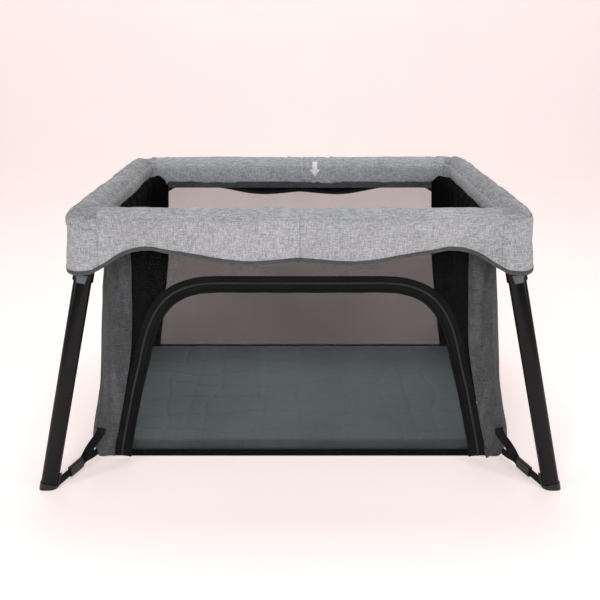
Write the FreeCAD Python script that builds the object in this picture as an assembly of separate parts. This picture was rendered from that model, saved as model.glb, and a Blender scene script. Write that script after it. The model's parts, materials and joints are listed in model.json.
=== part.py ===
import FreeCAD, Part
import math
import os

# Travel playpen with a folding top frame, in millimetres. X is along the length, Y goes from the
# front to the back, Z is up, and the origin is on the floor under the middle of the pen.
Vector = FreeCAD.Vector
SIDES = {"left": -1, "right": 1}
ENDS = {"front": -1, "back": 1}

# top frame
RAIL_X = 452.5
RAIL_Y = 319.0
RAIL_Z = 590.0
RAIL_RADIUS = 11.0
TUBE_WALL = 1.5
COVER_RADIUS = 28.0
BRACKET_RADIUS = 15.0
SLEEVE_RADIUS = 14.6
ELBOW_END = 10.0
PLASTIC_GAP = 0.5
SIDE_RAIL_END = 289.0
BRACKET_GRIP = 40.0
BRACKET_ROOT = 20.0

# folding pivots of the long rails
CORNER_PIVOT_X = 392.0
CENTRE_PIVOT_X = 55.0
CHEEK_INNER = 8.1
CHEEK_OUTER = 15.0
CHEEK_RADIUS = 14.0
TONGUE_HALF = 7.9
TONGUE_RADIUS = 12.5
PIN_RADIUS = 4.0
PIN_HOLE_GAP = 0.05
PIN_HEAD = 1.0
RAIL_COLLAR = 24.0
COLLAR_LENGTH = 4.0
TONGUE_NECK = 8.5
RAIL_PLUG = 54.0
COVER_START = 40.0
CENTRE_BODY = 35.0

# buttons under the centre hinges
BUTTON_RADIUS = 7.0
BUTTON_DROP = 4.0
BUTTON_HEIGHT = 12.0
BUTTON_TRAVEL = 4.0
BUTTON_FILLET = 1.0
POCKET_SPARE = 1.0

# legs
LEG_PIVOT_X = 447.0
LEG_PIVOT_Y = 325.0
LEG_PIVOT_Z = {"front": 540.0, "back": 498.0}
FOOT_X = 570.0
FOOT_Y = 409.5
FOLD_OUTWARD = 0.01
LEG_WIDTH = 38.0
LEG_DEPTH = 25.0
LEG_CHEEK_INNER = 9.0
LEG_CHEEK_OUTER = 14.0
LEG_CHEEK_RADIUS = 13.0
LEG_ARM_TOP = 586.0
LEG_TONGUE_HALF = 8.8
LEG_TONGUE_RADIUS = 12.0
LEG_NECK_HALF = 9.0
SOCKET_START = 16.0
SOCKET_END = 72.0
SOCKET_RIM = 3.0
TUBE_START = 50.0
FOOT_CAP = 12.0
FOOT_PLUG = 34.0
FOOT_PLUG_GAP = 0.1
FOOT_RIM = 1.5
FOOT_OVERRUN = 20.0
LUG_THICKNESS = 3.0
LUG_HEIGHT = 26.0
LUG_HALF = 5.0
LUG_ROOT = 4.0

# straps and buckles between the feet and the bag
STRAP_WIDTH = 20.0
STRAP_THICKNESS = 1.6
STRAP_MEETING = Vector(516.0, 332.0, 15.0)
STRAP_UPPER = Vector(481.0, 296.0, 70.0)
STRAP_KNEE = 16.0
STRAP_INTO_LUG = 3.0
SOCKET_LENGTH = 30.0
BUCKLE_WIDTH = 25.0
BUCKLE_THICKNESS = 9.0
BUCKLE_WALL = 1.8
BUCKLE_FILLET = 2.0
SOCKET_BACK = 5.0
PLUG_BODY = 14.0
PRONG_LENGTH = 20.0
PRONG_WIDTH = 5.0
PLUG_GAP = 0.4

# bag: heights, with the half lengths of the side wall, the corner seam and the mesh at each
BAG_HEIGHTS = [4.0, 40.0, 130.0, 200.0, 300.0, 474.0, 558.0]
SIDE_WALL_X = [494.0, 507.0, 488.0, 474.0, 462.0, 440.0, 424.0]
SEAM_X = [481.0, 481.0, 453.0, 437.0, 420.0, 400.0, 392.0]
MESH_X = [449.0, 444.0, 421.0, 404.0, 384.0, 369.0, 366.0]
PANEL_LOW = 5.0
FRONT_WALL_Y = 292.0
CORNER_Y = 252.0
WALL_THICKNESS = 4.0
CORNER_TAPER = 0.4
SIDE_WALL_LAP = 6.0
PANEL_GAP = 0.3
FLOOR_LOW = 1.0
FLOOR_HIGH = 3.0
FLOOR_X = 486.0
FLOOR_Y = 284.0
BASE_PAD = Vector(60.0, 24.0, 0.8)
BASE_PAD_LOW = 0.1
BASE_PAD_X = 400.0
BASE_PAD_Y = 268.0
MATTRESS_X = 484.0
MATTRESS_Y = 283.0
MATTRESS_LOW = 4.0
MATTRESS_HIGH = 44.0
MATTRESS_CORNER = 34.0

# door in the front wall, an arch with a straight top
DOOR_TOP = 465.0
DOOR_SHOULDER = 210.0
DOOR_BOTTOM = 20.0
DOOR_GAP = 0.5
DOOR_INSET = 3.0
DOOR_STEPS = 6
SLIDER = Vector(12.0, 4.0, 22.0)
SLIDER_LOW = 6.0

# overlaps that make fused and cut solids clean
OVERLAP = 1.0
FAR = 2000.0


def save(name, solids):
    shape = solids[0] if len(solids) == 1 else Part.makeCompound(solids)
    shape.exportStep(f"parts/{name}.step")


def rod(start, end, radius):
    direction = end - start
    return Part.makeCylinder(radius, direction.Length, start, direction)


def tube(start, end, radius, inner):
    return rod(start, end, radius).cut(rod(start, end, inner))


def block(low, high):
    size = high - low
    return Part.makeBox(size.x, size.y, size.z, low)


def prism(points, extrusion):
    """A solid that sweeps a closed outline of straight edges along a vector."""
    wire = Part.makePolygon(points + points[:1])
    return Part.Face(wire).extrude(extrusion)


def oval_prism(width, depth, start, end):
    """An upright bar with round narrow ends, from one height to another."""
    radius = depth / 2
    shift = width / 2 - radius
    height = end - start
    bar = block(Vector(-shift, -radius, start), Vector(shift, radius, end))
    for side in SIDES.values():
        bar = bar.fuse(Part.makeCylinder(radius, height, Vector(side * shift, 0, start)))
    return bar.removeSplitter()


def placed(solid, origin, across, outward, along):
    """The solid moved from its own axes to the three directions at an origin."""
    matrix = FreeCAD.Matrix(
        across.x, outward.x, along.x, origin.x,
        across.y, outward.y, along.y, origin.y,
        across.z, outward.z, along.z, origin.z,
        0, 0, 0, 1,
    )
    moved = solid.copy()
    moved.transformShape(matrix)
    return moved


def mirrored(point, side, end):
    """A point of the back right corner moved to another corner."""
    return Vector(SIDES[side] * point.x, ENDS[end] * point.y, point.z)


def leg_frame(side, end):
    """Pivot, hinge axis, outward direction, leg direction and length of one leg."""
    x_sign = SIDES[side]
    y_sign = ENDS[end]
    pivot = Vector(x_sign * LEG_PIVOT_X, y_sign * LEG_PIVOT_Y, LEG_PIVOT_Z[end])
    foot = Vector(x_sign * FOOT_X, y_sign * FOOT_Y, 0)
    along = foot - pivot
    length = along.Length
    along.normalize()
    folded = Vector(x_sign * FOLD_OUTWARD, -y_sign, 0)
    axis = along.cross(folded).normalize()
    return pivot, axis, along.cross(axis), along, length


def rail_cheeks(pivot_x, root_x, y_centre):
    """Two plates with round ends that hold a rail's tongue between them."""
    cheeks = []
    low_x, high_x = sorted([pivot_x, root_x])
    for side in SIDES.values():
        inner = y_centre + side * CHEEK_INNER
        outer = y_centre + side * CHEEK_OUTER
        low_y, high_y = sorted([inner, outer])
        plate = block(
            Vector(low_x, low_y, RAIL_Z - CHEEK_RADIUS), Vector(high_x, high_y, RAIL_Z + CHEEK_RADIUS)
        )
        eye = rod(Vector(pivot_x, low_y, RAIL_Z), Vector(pivot_x, high_y, RAIL_Z), CHEEK_RADIUS)
        plate = plate.fuse(eye)
        cheeks.append(plate)
    return cheeks


def rail_pin(pivot_x, y_centre, radius):
    reach = CHEEK_OUTER + PIN_HEAD
    start = Vector(pivot_x, y_centre - reach, RAIL_Z)
    return rod(start, Vector(pivot_x, y_centre + reach, RAIL_Z), radius)


def corner_bracket(side, end):
    """The moulded elbow that holds the side rail, the long rail's pivot and the leg's pivot."""
    x_sign = SIDES[side]
    y_centre = ENDS[end] * RAIL_Y
    corner = Vector(x_sign * RAIL_X, y_centre, RAIL_Z)
    root = Vector(x_sign * (CORNER_PIVOT_X + BRACKET_ROOT), y_centre, RAIL_Z)
    sleeve = Vector(x_sign * RAIL_X, ENDS[end] * (SIDE_RAIL_END - BRACKET_GRIP), RAIL_Z)
    seat = Vector(x_sign * RAIL_X, ENDS[end] * SIDE_RAIL_END, RAIL_Z)
    body = rod(root, corner + Vector(x_sign * ELBOW_END, 0, 0), BRACKET_RADIUS)
    body = body.fuse(rod(sleeve, corner + Vector(0, ENDS[end] * ELBOW_END, 0), SLEEVE_RADIUS))
    for cheek in rail_cheeks(x_sign * CORNER_PIVOT_X, root.x, y_centre):
        body = body.fuse(cheek)
    pivot, axis, _, _, _ = leg_frame(side, end)
    rise = LEG_ARM_TOP - pivot.z
    for low, high in [(-LEG_CHEEK_OUTER, -LEG_CHEEK_INNER), (LEG_CHEEK_INNER, LEG_CHEEK_OUTER)]:
        disc = Part.makeCylinder(LEG_CHEEK_RADIUS, high - low, Vector(low, 0, 0), Vector(1, 0, 0))
        arm = block(Vector(low, -LEG_CHEEK_RADIUS, 0), Vector(high, LEG_CHEEK_RADIUS, rise))
        upright = Vector(0, 0, 1) - axis * axis.z
        upright.normalize()
        body = body.fuse(placed(disc.fuse(arm), pivot, axis, upright.cross(axis), upright))
    body = body.cut(rod(sleeve, seat, RAIL_RADIUS + PIN_HOLE_GAP))
    body = body.cut(rail_pin(x_sign * CORNER_PIVOT_X, y_centre, PIN_RADIUS))
    reach = axis * (LEG_CHEEK_OUTER + PIN_HEAD)
    body = body.cut(rod(pivot - reach, pivot + reach, PIN_RADIUS))
    return body.removeSplitter()


def rail_end(pivot_x, direction, y_centre):
    """The plug in a long rail's end, with the tongue that turns between two cheeks."""
    tongue = rod(
        Vector(pivot_x, y_centre - TONGUE_HALF, RAIL_Z),
        Vector(pivot_x, y_centre + TONGUE_HALF, RAIL_Z),
        TONGUE_RADIUS,
    )
    low_x, high_x = sorted([pivot_x, pivot_x + direction * RAIL_COLLAR])
    neck = block(
        Vector(low_x, y_centre - TONGUE_HALF, RAIL_Z - TONGUE_NECK),
        Vector(high_x, y_centre + TONGUE_HALF, RAIL_Z + TONGUE_NECK),
    )
    collar_start = Vector(pivot_x + direction * (RAIL_COLLAR - COLLAR_LENGTH), y_centre, RAIL_Z)
    collar_end = Vector(pivot_x + direction * RAIL_COLLAR, y_centre, RAIL_Z)
    plug_end = Vector(pivot_x + direction * RAIL_PLUG, y_centre, RAIL_Z)
    body = tongue.fuse(neck)
    body = body.fuse(rod(collar_start, collar_end, RAIL_RADIUS))
    body = body.fuse(rod(collar_end, plug_end, RAIL_RADIUS - TUBE_WALL - PIN_HOLE_GAP))
    return body.cut(rail_pin(pivot_x, y_centre, PIN_RADIUS + PIN_HOLE_GAP)).removeSplitter()


def centre_hinge(y_centre):
    """The moulded knuckle between the two halves of a long rail, with a pocket for its button."""
    body = rod(Vector(-CENTRE_BODY, y_centre, RAIL_Z), Vector(CENTRE_BODY, y_centre, RAIL_Z), BRACKET_RADIUS)
    for side in SIDES.values():
        for cheek in rail_cheeks(side * CENTRE_PIVOT_X, side * CENTRE_BODY, y_centre):
            body = body.fuse(cheek)
    mouth = RAIL_Z - BRACKET_RADIUS
    pocket_top = mouth + BUTTON_HEIGHT - BUTTON_DROP + BUTTON_TRAVEL + POCKET_SPARE
    pocket = rod(
        Vector(0, y_centre, mouth - OVERLAP),
        Vector(0, y_centre, pocket_top),
        BUTTON_RADIUS + PLUG_GAP,
    )
    body = body.cut(pocket)
    for side in SIDES.values():
        body = body.cut(rail_pin(side * CENTRE_PIVOT_X, y_centre, PIN_RADIUS))
    return body.removeSplitter()


def release_button(y_centre):
    low = RAIL_Z - BRACKET_RADIUS - BUTTON_DROP
    button = rod(Vector(0, y_centre, low), Vector(0, y_centre, low + BUTTON_HEIGHT), BUTTON_RADIUS)
    rim = [edge for edge in button.Edges if edge.BoundBox.ZMax < low + OVERLAP]
    return button.makeFillet(BUTTON_FILLET, rim)


def leg_tube(length):
    outer = oval_prism(LEG_WIDTH, LEG_DEPTH, TUBE_START, length - FOOT_CAP)
    inner_width = LEG_WIDTH - 2 * TUBE_WALL
    inner_depth = LEG_DEPTH - 2 * TUBE_WALL
    return outer.cut(oval_prism(inner_width, inner_depth, TUBE_START - OVERLAP, length - FOOT_CAP + OVERLAP))


def leg_hinge():
    """The moulding on a leg's top: a tongue for the pivot and a socket for the tube."""
    body = oval_prism(LEG_WIDTH + 2 * SOCKET_RIM, LEG_DEPTH + 2 * SOCKET_RIM, SOCKET_START, SOCKET_END)
    tongue = rod(Vector(-LEG_TONGUE_HALF, 0, 0), Vector(LEG_TONGUE_HALF, 0, 0), LEG_TONGUE_RADIUS)
    neck = block(
        Vector(-LEG_TONGUE_HALF, -LEG_NECK_HALF, 0),
        Vector(LEG_TONGUE_HALF, LEG_NECK_HALF, SOCKET_START + OVERLAP),
    )
    body = body.fuse(tongue).fuse(neck)
    seat_width = LEG_WIDTH + 2 * PIN_HOLE_GAP
    seat_depth = LEG_DEPTH + 2 * PIN_HOLE_GAP
    body = body.cut(oval_prism(seat_width, seat_depth, TUBE_START, SOCKET_END + OVERLAP))
    hole = rod(Vector(-LEG_WIDTH, 0, 0), Vector(LEG_WIDTH, 0, 0), PIN_RADIUS + PIN_HOLE_GAP)
    return body.cut(hole).removeSplitter()


def leg_foot(length, inward):
    """The cap that stands on the floor, its plug inside the tube and the lug for the strap."""
    seam = length - FOOT_CAP
    cap_width = LEG_WIDTH + 2 * FOOT_RIM
    cap_depth = LEG_DEPTH + 2 * FOOT_RIM
    cap = oval_prism(cap_width, cap_depth, seam, length + FOOT_OVERRUN)
    inset = TUBE_WALL + FOOT_PLUG_GAP
    plug = oval_prism(LEG_WIDTH - 2 * inset, LEG_DEPTH - 2 * inset, seam - FOOT_PLUG, seam)
    near = LEG_WIDTH / 2 + PANEL_GAP
    low_x, high_x = sorted([inward * near, inward * (near + LUG_THICKNESS)])
    lug = block(Vector(low_x, -LUG_HALF, seam - LUG_HEIGHT), Vector(high_x, LUG_HALF, seam + LUG_ROOT))
    low_x, high_x = sorted([0, inward * (near + LUG_THICKNESS)])
    root = block(Vector(low_x, -LUG_HALF, seam), Vector(high_x, LUG_HALF, seam + LUG_ROOT))
    return cap.fuse(plug).fuse(lug).fuse(root).removeSplitter()


def strap_axes(start, end):
    """Directions across a strap, through it and along it; across is as upright as it can be."""
    along = end - start
    along.normalize()
    through = along.cross(Vector(0, 0, 1)).normalize()
    return through.cross(along), through, along


def webbing(start, end):
    across, through, along = strap_axes(start, end)
    length = (end - start).Length
    half = Vector(STRAP_WIDTH / 2, STRAP_THICKNESS / 2, 0)
    strip = block(-half, half + Vector(0, 0, length))
    return placed(strip, start, across, through, along)


def rounded(body):
    """The body with its edges along Z filleted."""
    edges = [edge for edge in body.Edges if edge.BoundBox.ZLength > OVERLAP]
    return body.makeFillet(BUCKLE_FILLET, edges)


def buckle_socket():
    shell = block(
        Vector(-BUCKLE_WIDTH / 2, -BUCKLE_THICKNESS / 2, 0),
        Vector(BUCKLE_WIDTH / 2, BUCKLE_THICKNESS / 2, SOCKET_LENGTH),
    )
    half_width = BUCKLE_WIDTH / 2 - BUCKLE_WALL
    half_depth = BUCKLE_THICKNESS / 2 - BUCKLE_WALL
    cavity = block(
        Vector(-half_width, -half_depth, SOCKET_BACK),
        Vector(half_width, half_depth, SOCKET_LENGTH + OVERLAP),
    )
    return rounded(shell).cut(cavity)


def buckle_plug():
    """The male half: a flat body with three prongs that reach into the socket."""
    start = SOCKET_LENGTH + PLUG_GAP
    body = rounded(block(
        Vector(-BUCKLE_WIDTH / 2, -BUCKLE_THICKNESS / 2, start),
        Vector(BUCKLE_WIDTH / 2, BUCKLE_THICKNESS / 2, start + PLUG_BODY),
    ))
    reach = BUCKLE_WIDTH / 2 - BUCKLE_WALL - PLUG_GAP - PRONG_WIDTH
    half = BUCKLE_THICKNESS / 2 - BUCKLE_WALL - PLUG_GAP
    for left in [-reach - PRONG_WIDTH, -PRONG_WIDTH / 2, reach]:
        low = Vector(left, -half, start - PRONG_LENGTH)
        high = Vector(left + PRONG_WIDTH, half, start + OVERLAP)
        body = body.fuse(block(low, high))
    return body.removeSplitter()


def bag_section(height, side_x, seam_x, inset):
    """The bag's outline at one height: long front and back, chamfered corners."""
    side = side_x - inset
    seam = seam_x - inset * CORNER_TAPER
    front = FRONT_WALL_Y - inset
    corner = CORNER_Y - inset * CORNER_TAPER
    quarter = [(side, corner), (seam, front)]
    points = [(x, y) for x, y in quarter]
    points += [(-x, y) for x, y in reversed(quarter)]
    points += [(-x, -y) for x, y in quarter]
    points += [(x, -y) for x, y in reversed(quarter)]
    return [Vector(x, y, height) for x, y in points]


def bag_loft(inset):
    wires = []
    for height, side_x, seam_x in zip(BAG_HEIGHTS, SIDE_WALL_X, SEAM_X):
        points = bag_section(height, side_x, seam_x, inset)
        wires.append(Part.makePolygon(points + points[:1]))
    return Part.makeLoft(wires, True, True)


def mesh_outline(shrink):
    """The long walls' mesh, between the corner panels, as an outline in the XZ plane."""
    right = [Vector(x - shrink, 0, z) for x, z in zip(MESH_X, BAG_HEIGHTS)]
    return right + [Vector(-point.x, 0, point.z) for point in reversed(right)]


def door_outline(shrink):
    """The door's sides follow the mesh's edge up to its shoulders, which curve in to the level top."""
    inset = DOOR_INSET + shrink
    sides = [Vector(x - inset, 0, z) for x, z in zip(MESH_X[1:5], BAG_HEIGHTS[1:5])]
    right = [Vector(MESH_X[0] - inset, 0, DOOR_BOTTOM)] + sides
    reach = sides[-1].x - DOOR_SHOULDER
    rise = DOOR_TOP - shrink - sides[-1].z
    for step in range(1, DOOR_STEPS + 1):
        angle = math.radians(90 * step / DOOR_STEPS)
        right.append(Vector(
            DOOR_SHOULDER + reach * math.cos(angle), 0, sides[-1].z + rise * math.sin(angle)
        ))
    return right + [Vector(-point.x, 0, point.z) for point in reversed(right)]


def wall_slab(outline, y_centre):
    """An outline in the XZ plane made into a wall of the bag's thickness."""
    low = min(y_centre, y_centre + (WALL_THICKNESS if y_centre < 0 else -WALL_THICKNESS))
    return prism([point + Vector(0, low, 0) for point in outline], Vector(0, WALL_THICKNESS, 0))


def corner_panels():
    """The shell between the long walls' mesh and the side walls, at all four corners."""
    shell = bag_loft(0).cut(bag_loft(WALL_THICKNESS))
    shell = shell.common(block(Vector(-FAR, -FAR, PANEL_LOW), Vector(FAR, FAR, BAG_HEIGHTS[-1])))
    middle = prism([point + Vector(0, -FAR, 0) for point in mesh_outline(-PANEL_GAP)], Vector(0, 2 * FAR, 0))
    reach = CORNER_Y - SIDE_WALL_LAP
    sides = block(Vector(-FAR, -reach, -FAR), Vector(FAR, reach, FAR))
    return shell.cut(middle).cut(sides).Solids


def side_walls():
    shell = bag_loft(0).cut(bag_loft(WALL_THICKNESS))
    reach = CORNER_Y - SIDE_WALL_LAP - PANEL_GAP
    band = block(Vector(-FAR, -reach, PANEL_LOW), Vector(FAR, reach, BAG_HEIGHTS[-1]))
    return shell.common(band).Solids


def door_hem(gap):
    """The rolled hem along the door's lower edge, on which the door turns."""
    reach = MESH_X[0] - DOOR_INSET - DOOR_GAP + gap
    centre = Vector(0, WALL_THICKNESS / 2 - FRONT_WALL_Y, DOOR_BOTTOM)
    half = Vector(reach, 0, 0)
    return rod(centre - half, centre + half, WALL_THICKNESS / 2 + gap)


def wall_front():
    wall = wall_slab(mesh_outline(PANEL_GAP), -FRONT_WALL_Y)
    opening = prism([point + Vector(0, -FAR, 0) for point in door_outline(0)], Vector(0, 2 * FAR, 0))
    return wall.cut(opening).cut(door_hem(DOOR_GAP)).Solids


def mattress():
    cut = MATTRESS_CORNER
    quarter = [Vector(MATTRESS_X, MATTRESS_Y - cut, 0), Vector(MATTRESS_X - cut, MATTRESS_Y, 0)]
    outline = list(quarter)
    outline += [Vector(-p.x, p.y, 0) for p in reversed(quarter)]
    outline += [Vector(-p.x, -p.y, 0) for p in quarter]
    outline += [Vector(p.x, -p.y, 0) for p in reversed(quarter)]
    height = Vector(0, 0, MATTRESS_HIGH - MATTRESS_LOW)
    return prism([point + Vector(0, 0, MATTRESS_LOW) for point in outline], height)


def make_frame():
    for side, x_sign in SIDES.items():
        x = x_sign * RAIL_X
        save(f"side_rail_{side}", [
            tube(Vector(x, -SIDE_RAIL_END, RAIL_Z), Vector(x, SIDE_RAIL_END, RAIL_Z),
                 RAIL_RADIUS, RAIL_RADIUS - TUBE_WALL)
        ])
        save(f"side_cover_{side}", [
            tube(Vector(x, -SIDE_RAIL_END, RAIL_Z), Vector(x, SIDE_RAIL_END, RAIL_Z),
                 COVER_RADIUS, BRACKET_RADIUS + PLASTIC_GAP)
        ])
        rail_ends = []
        covers = []
        for end, y_sign in ENDS.items():
            y = y_sign * RAIL_Y
            save(f"corner_bracket_{end}_{side}", [corner_bracket(side, end)])
            outer = x_sign * CORNER_PIVOT_X
            inner = x_sign * CENTRE_PIVOT_X
            tube_start = Vector(outer - x_sign * RAIL_COLLAR, y, RAIL_Z)
            tube_end = Vector(inner + x_sign * RAIL_COLLAR, y, RAIL_Z)
            save(f"{end}_rail_{side}", [tube(tube_start, tube_end, RAIL_RADIUS, RAIL_RADIUS - TUBE_WALL)])
            rail_ends += [rail_end(outer, -x_sign, y), rail_end(inner, x_sign, y)]
            cover_start = Vector(outer - x_sign * COVER_START, y, RAIL_Z)
            cover_end = Vector(inner + x_sign * COVER_START, y, RAIL_Z)
            covers.append(tube(cover_start, cover_end, COVER_RADIUS, RAIL_RADIUS + PLASTIC_GAP))
        save(f"rail_ends_{side}", rail_ends)
        save(f"rail_covers_{side}", covers)
        pins = [rail_pin(x_sign * CORNER_PIVOT_X, y_sign * RAIL_Y, PIN_RADIUS) for y_sign in ENDS.values()]
        for end in ENDS:
            pivot, axis, _, _, _ = leg_frame(side, end)
            reach = axis * (LEG_CHEEK_OUTER + PIN_HEAD)
            pins.append(rod(pivot - reach, pivot + reach, PIN_RADIUS))
        save(f"pivot_pins_{side}", pins)
    hinge_pins = []
    for end, y_sign in ENDS.items():
        y = y_sign * RAIL_Y
        save(f"centre_hinge_{end}", [centre_hinge(y)])
        save(f"release_button_{end}", [release_button(y)])
        hinge_pins += [rail_pin(side * CENTRE_PIVOT_X, y, PIN_RADIUS) for side in SIDES.values()]
    save("hinge_pins", hinge_pins)


def make_legs():
    floor = block(Vector(-FAR, -FAR, -FAR), Vector(FAR, FAR, 0))
    for side, x_sign in SIDES.items():
        straps = []
        sockets = []
        for end in ENDS:
            pivot, axis, outward, along, length = leg_frame(side, end)
            inward = -x_sign * (1 if axis.x > 0 else -1)
            spot = f"{end}_{side}"
            save(f"leg_tube_{spot}", [placed(leg_tube(length), pivot, axis, outward, along)])
            save(f"leg_hinge_{spot}", [placed(leg_hinge(), pivot, axis, outward, along)])
            foot = placed(leg_foot(length, inward), pivot, axis, outward, along)
            save(f"leg_foot_{spot}", [foot.cut(floor)])
            meeting = mirrored(STRAP_MEETING, side, end)
            lug = LEG_WIDTH / 2 + PANEL_GAP + LUG_THICKNESS + PANEL_GAP
            anchor = pivot + along * (length - FOOT_CAP - STRAP_WIDTH / 4) + axis * (inward * lug)
            anchor.z = meeting.z
            across, through, direction = strap_axes(meeting, anchor)
            plug_tail = meeting + direction * (SOCKET_LENGTH + PLUG_GAP + PLUG_BODY)
            strap = webbing(plug_tail, anchor - direction * STRAP_INTO_LUG)
            save(f"leg_strap_{spot}", strap.cut(foot).Solids)
            save(f"buckle_plug_{spot}", [placed(buckle_plug(), meeting, across, through, direction)])
            sockets.append(placed(buckle_socket(), meeting, across, through, direction))
            knee = meeting - direction * STRAP_KNEE
            level = webbing(knee, meeting - direction * PANEL_GAP)
            upper = webbing(mirrored(STRAP_UPPER, side, end), knee)
            straps.append(upper.fuse(level).removeSplitter())
        save(f"bag_straps_{side}", straps)
        save(f"buckle_sockets_{side}", sockets)


def make_bag():
    save("wall_front", wall_front())
    save("corner_panels", corner_panels())
    save("side_walls", side_walls())
    save("wall_back", [wall_slab(mesh_outline(PANEL_GAP), FRONT_WALL_Y)])
    door = wall_slab(door_outline(DOOR_GAP), -FRONT_WALL_Y)
    save("door_panel", [door.fuse(door_hem(0))])
    save("floor_panel", [
        block(Vector(-FLOOR_X, -FLOOR_Y, FLOOR_LOW), Vector(FLOOR_X, FLOOR_Y, FLOOR_HIGH))
    ])
    pads = []
    for x_sign in SIDES.values():
        for y_sign in ENDS.values():
            centre = Vector(x_sign * BASE_PAD_X, y_sign * BASE_PAD_Y, 0)
            low = centre + Vector(-BASE_PAD.x / 2, -BASE_PAD.y / 2, BASE_PAD_LOW)
            pads.append(block(low, low + BASE_PAD))
    save("base_pads", pads)
    save("mattress", [mattress()])
    slider_low = Vector(MESH_X[0] - SLIDER.x / 2, -FRONT_WALL_Y - PLASTIC_GAP - SLIDER.y, SLIDER_LOW)
    save("zip_slider", [block(slider_low, slider_low + SLIDER)])


os.makedirs("parts", exist_ok=True)
make_frame()
make_legs()
make_bag()
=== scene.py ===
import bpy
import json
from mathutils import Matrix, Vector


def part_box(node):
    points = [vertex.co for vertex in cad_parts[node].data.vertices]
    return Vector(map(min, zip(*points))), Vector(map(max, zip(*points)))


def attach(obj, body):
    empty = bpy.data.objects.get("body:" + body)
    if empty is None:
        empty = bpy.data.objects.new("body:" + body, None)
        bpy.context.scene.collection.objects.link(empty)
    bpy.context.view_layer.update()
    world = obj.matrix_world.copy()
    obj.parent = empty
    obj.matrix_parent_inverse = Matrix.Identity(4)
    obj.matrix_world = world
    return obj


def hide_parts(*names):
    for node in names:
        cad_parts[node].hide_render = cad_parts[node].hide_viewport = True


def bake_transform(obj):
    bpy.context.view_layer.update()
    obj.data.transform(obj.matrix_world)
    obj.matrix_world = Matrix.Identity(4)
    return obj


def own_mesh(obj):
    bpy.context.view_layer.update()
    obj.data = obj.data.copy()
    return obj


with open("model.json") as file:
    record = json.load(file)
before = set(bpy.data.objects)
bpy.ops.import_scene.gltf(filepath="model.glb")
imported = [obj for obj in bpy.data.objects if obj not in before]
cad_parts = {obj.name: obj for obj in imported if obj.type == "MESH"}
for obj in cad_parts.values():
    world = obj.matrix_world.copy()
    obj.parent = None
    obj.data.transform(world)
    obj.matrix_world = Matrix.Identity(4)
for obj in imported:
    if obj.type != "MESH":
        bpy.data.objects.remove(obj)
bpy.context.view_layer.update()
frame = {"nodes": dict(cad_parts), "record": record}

import json
import math
from math import cos, pi, sin

import bpy
from mathutils import Vector, noise
from mathutils.geometry import tessellate_polygon

SIDES = {"left": -1, "right": 1}
ENDS = {"front": -1, "back": 1}
UP = Vector((0, 0, 1))
MM = 0.001


def box_corners(node):
    return [Vector(corner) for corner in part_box(node)]


def middle(node):
    low, high = box_corners(node)
    return (low + high) / 2


# sizes read from the frame
RAIL_X = middle("side_rail_right").x
RAIL_Y = middle("back_rail_right").y
RAIL_Z = middle("side_rail_right").z
WALL_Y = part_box("wall_back")[1][1] - 2 * MM
BAG_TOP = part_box("corner_panels")[1][2]
MATTRESS_LOW, MATTRESS_HIGH = box_corners("mattress")
JOINTS = {joint["name"]: joint for joint in frame["record"]["behaviour"]["joints"]}

# padded covers, plumper than the plain tubes of the frame
SLEEVE_RADIUS = 32.5 * MM
COVER_X = RAIL_X + 8.5 * MM
COVER_Z = RAIL_Z + 2 * MM
CORNER_RADIUS = 27 * MM
END_PIECE_X = 418 * MM
LONG_SPLIT = 100 * MM
PATH_STEP = 4 * MM
CORNER_STEPS = 22
CORNER_REACH = 130 * MM
SHOULDER = math.radians(28)
SLEEVE_SWELL_MAX, SKIRT_OUT_MAX, SKIRT_IN_MAX = 2.5 * MM, 3 * MM, 2.2 * MM
STRAIGHT = 0.999  # a path that faces an axis by more than this is on a straight run
LINING_DROP = 26 * MM
SKIRT_CLOTH = 1.4 * MM
SKIRT_LOW = [  # distance from the middle of a long side, height of the skirt's edge
    (0, 521), (100, 513), (150, 516), (220, 529), (280, 539), (315, 545), (365, 537), (410, 511), (450, 489),
]
SIDE_SKIRT_LOW = [(0, 528), (90, 534), (180, 545), (240, 534), (290, 503), (325, 490)]
BINDING_WIDTH, BINDING_HALF_DEPTH = 9 * MM, 2.0 * MM
BINDING_SECTION = [(-1, 0.7), (-0.9, 1), (0.6, 1), (1, 0.5), (1, -0.5), (0.6, -1), (-0.9, -1), (-1, -0.7)]

# bag: heights, with the half lengths of the side wall, the corner seam and the mesh at each
BAG_HEIGHTS = [4, 40, 130, 200, 300, 474, 558]
SIDE_WALL_X = [494, 507, 488, 474, 462, 440, 424]
SEAM_X = [481, 481, 453, 437, 420, 400, 392]
MESH_X = [449, 444, 421, 404, 384, 369, 366]
BACK_MESH_X = [(4, 449), (58, 441), (200, 418), (337, 399), (540, 385), (558, 384)]
BAG_FOOT = 5 * MM
CORNER_Y, CORNER_SPREAD = 252 * MM, 8 * MM
NET_THICKNESS, PANEL_THICKNESS, TAPE_THICKNESS = 0.8 * MM, 1.5 * MM, 1.2 * MM

# door
DOOR_POINTS = [
    (447, 8), (442, 40), (420, 130), (402, 200), (384, 262), (371, 310), (352, 362), (324, 408), (286, 441),
    (240, 459), (190, 465), (100, 465), (0, 465),
]
ZIP_PITCH = 2.6 * MM
TOOTH_CORNERS = [
    (-1, -1, 0), (1, -1, 0), (1, 1, 0), (-1, 1, 0),
    (-0.6, -0.7, 1), (0.6, -0.7, 1), (0.6, 0.7, 1), (-0.6, 0.7, 1),
]
TOOTH_FACES = [(0, 3, 2, 1), (4, 5, 6, 7), (0, 1, 5, 4), (1, 2, 6, 5), (2, 3, 7, 6), (3, 0, 4, 7)]
DOOR_INSET = 30 * MM

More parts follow.
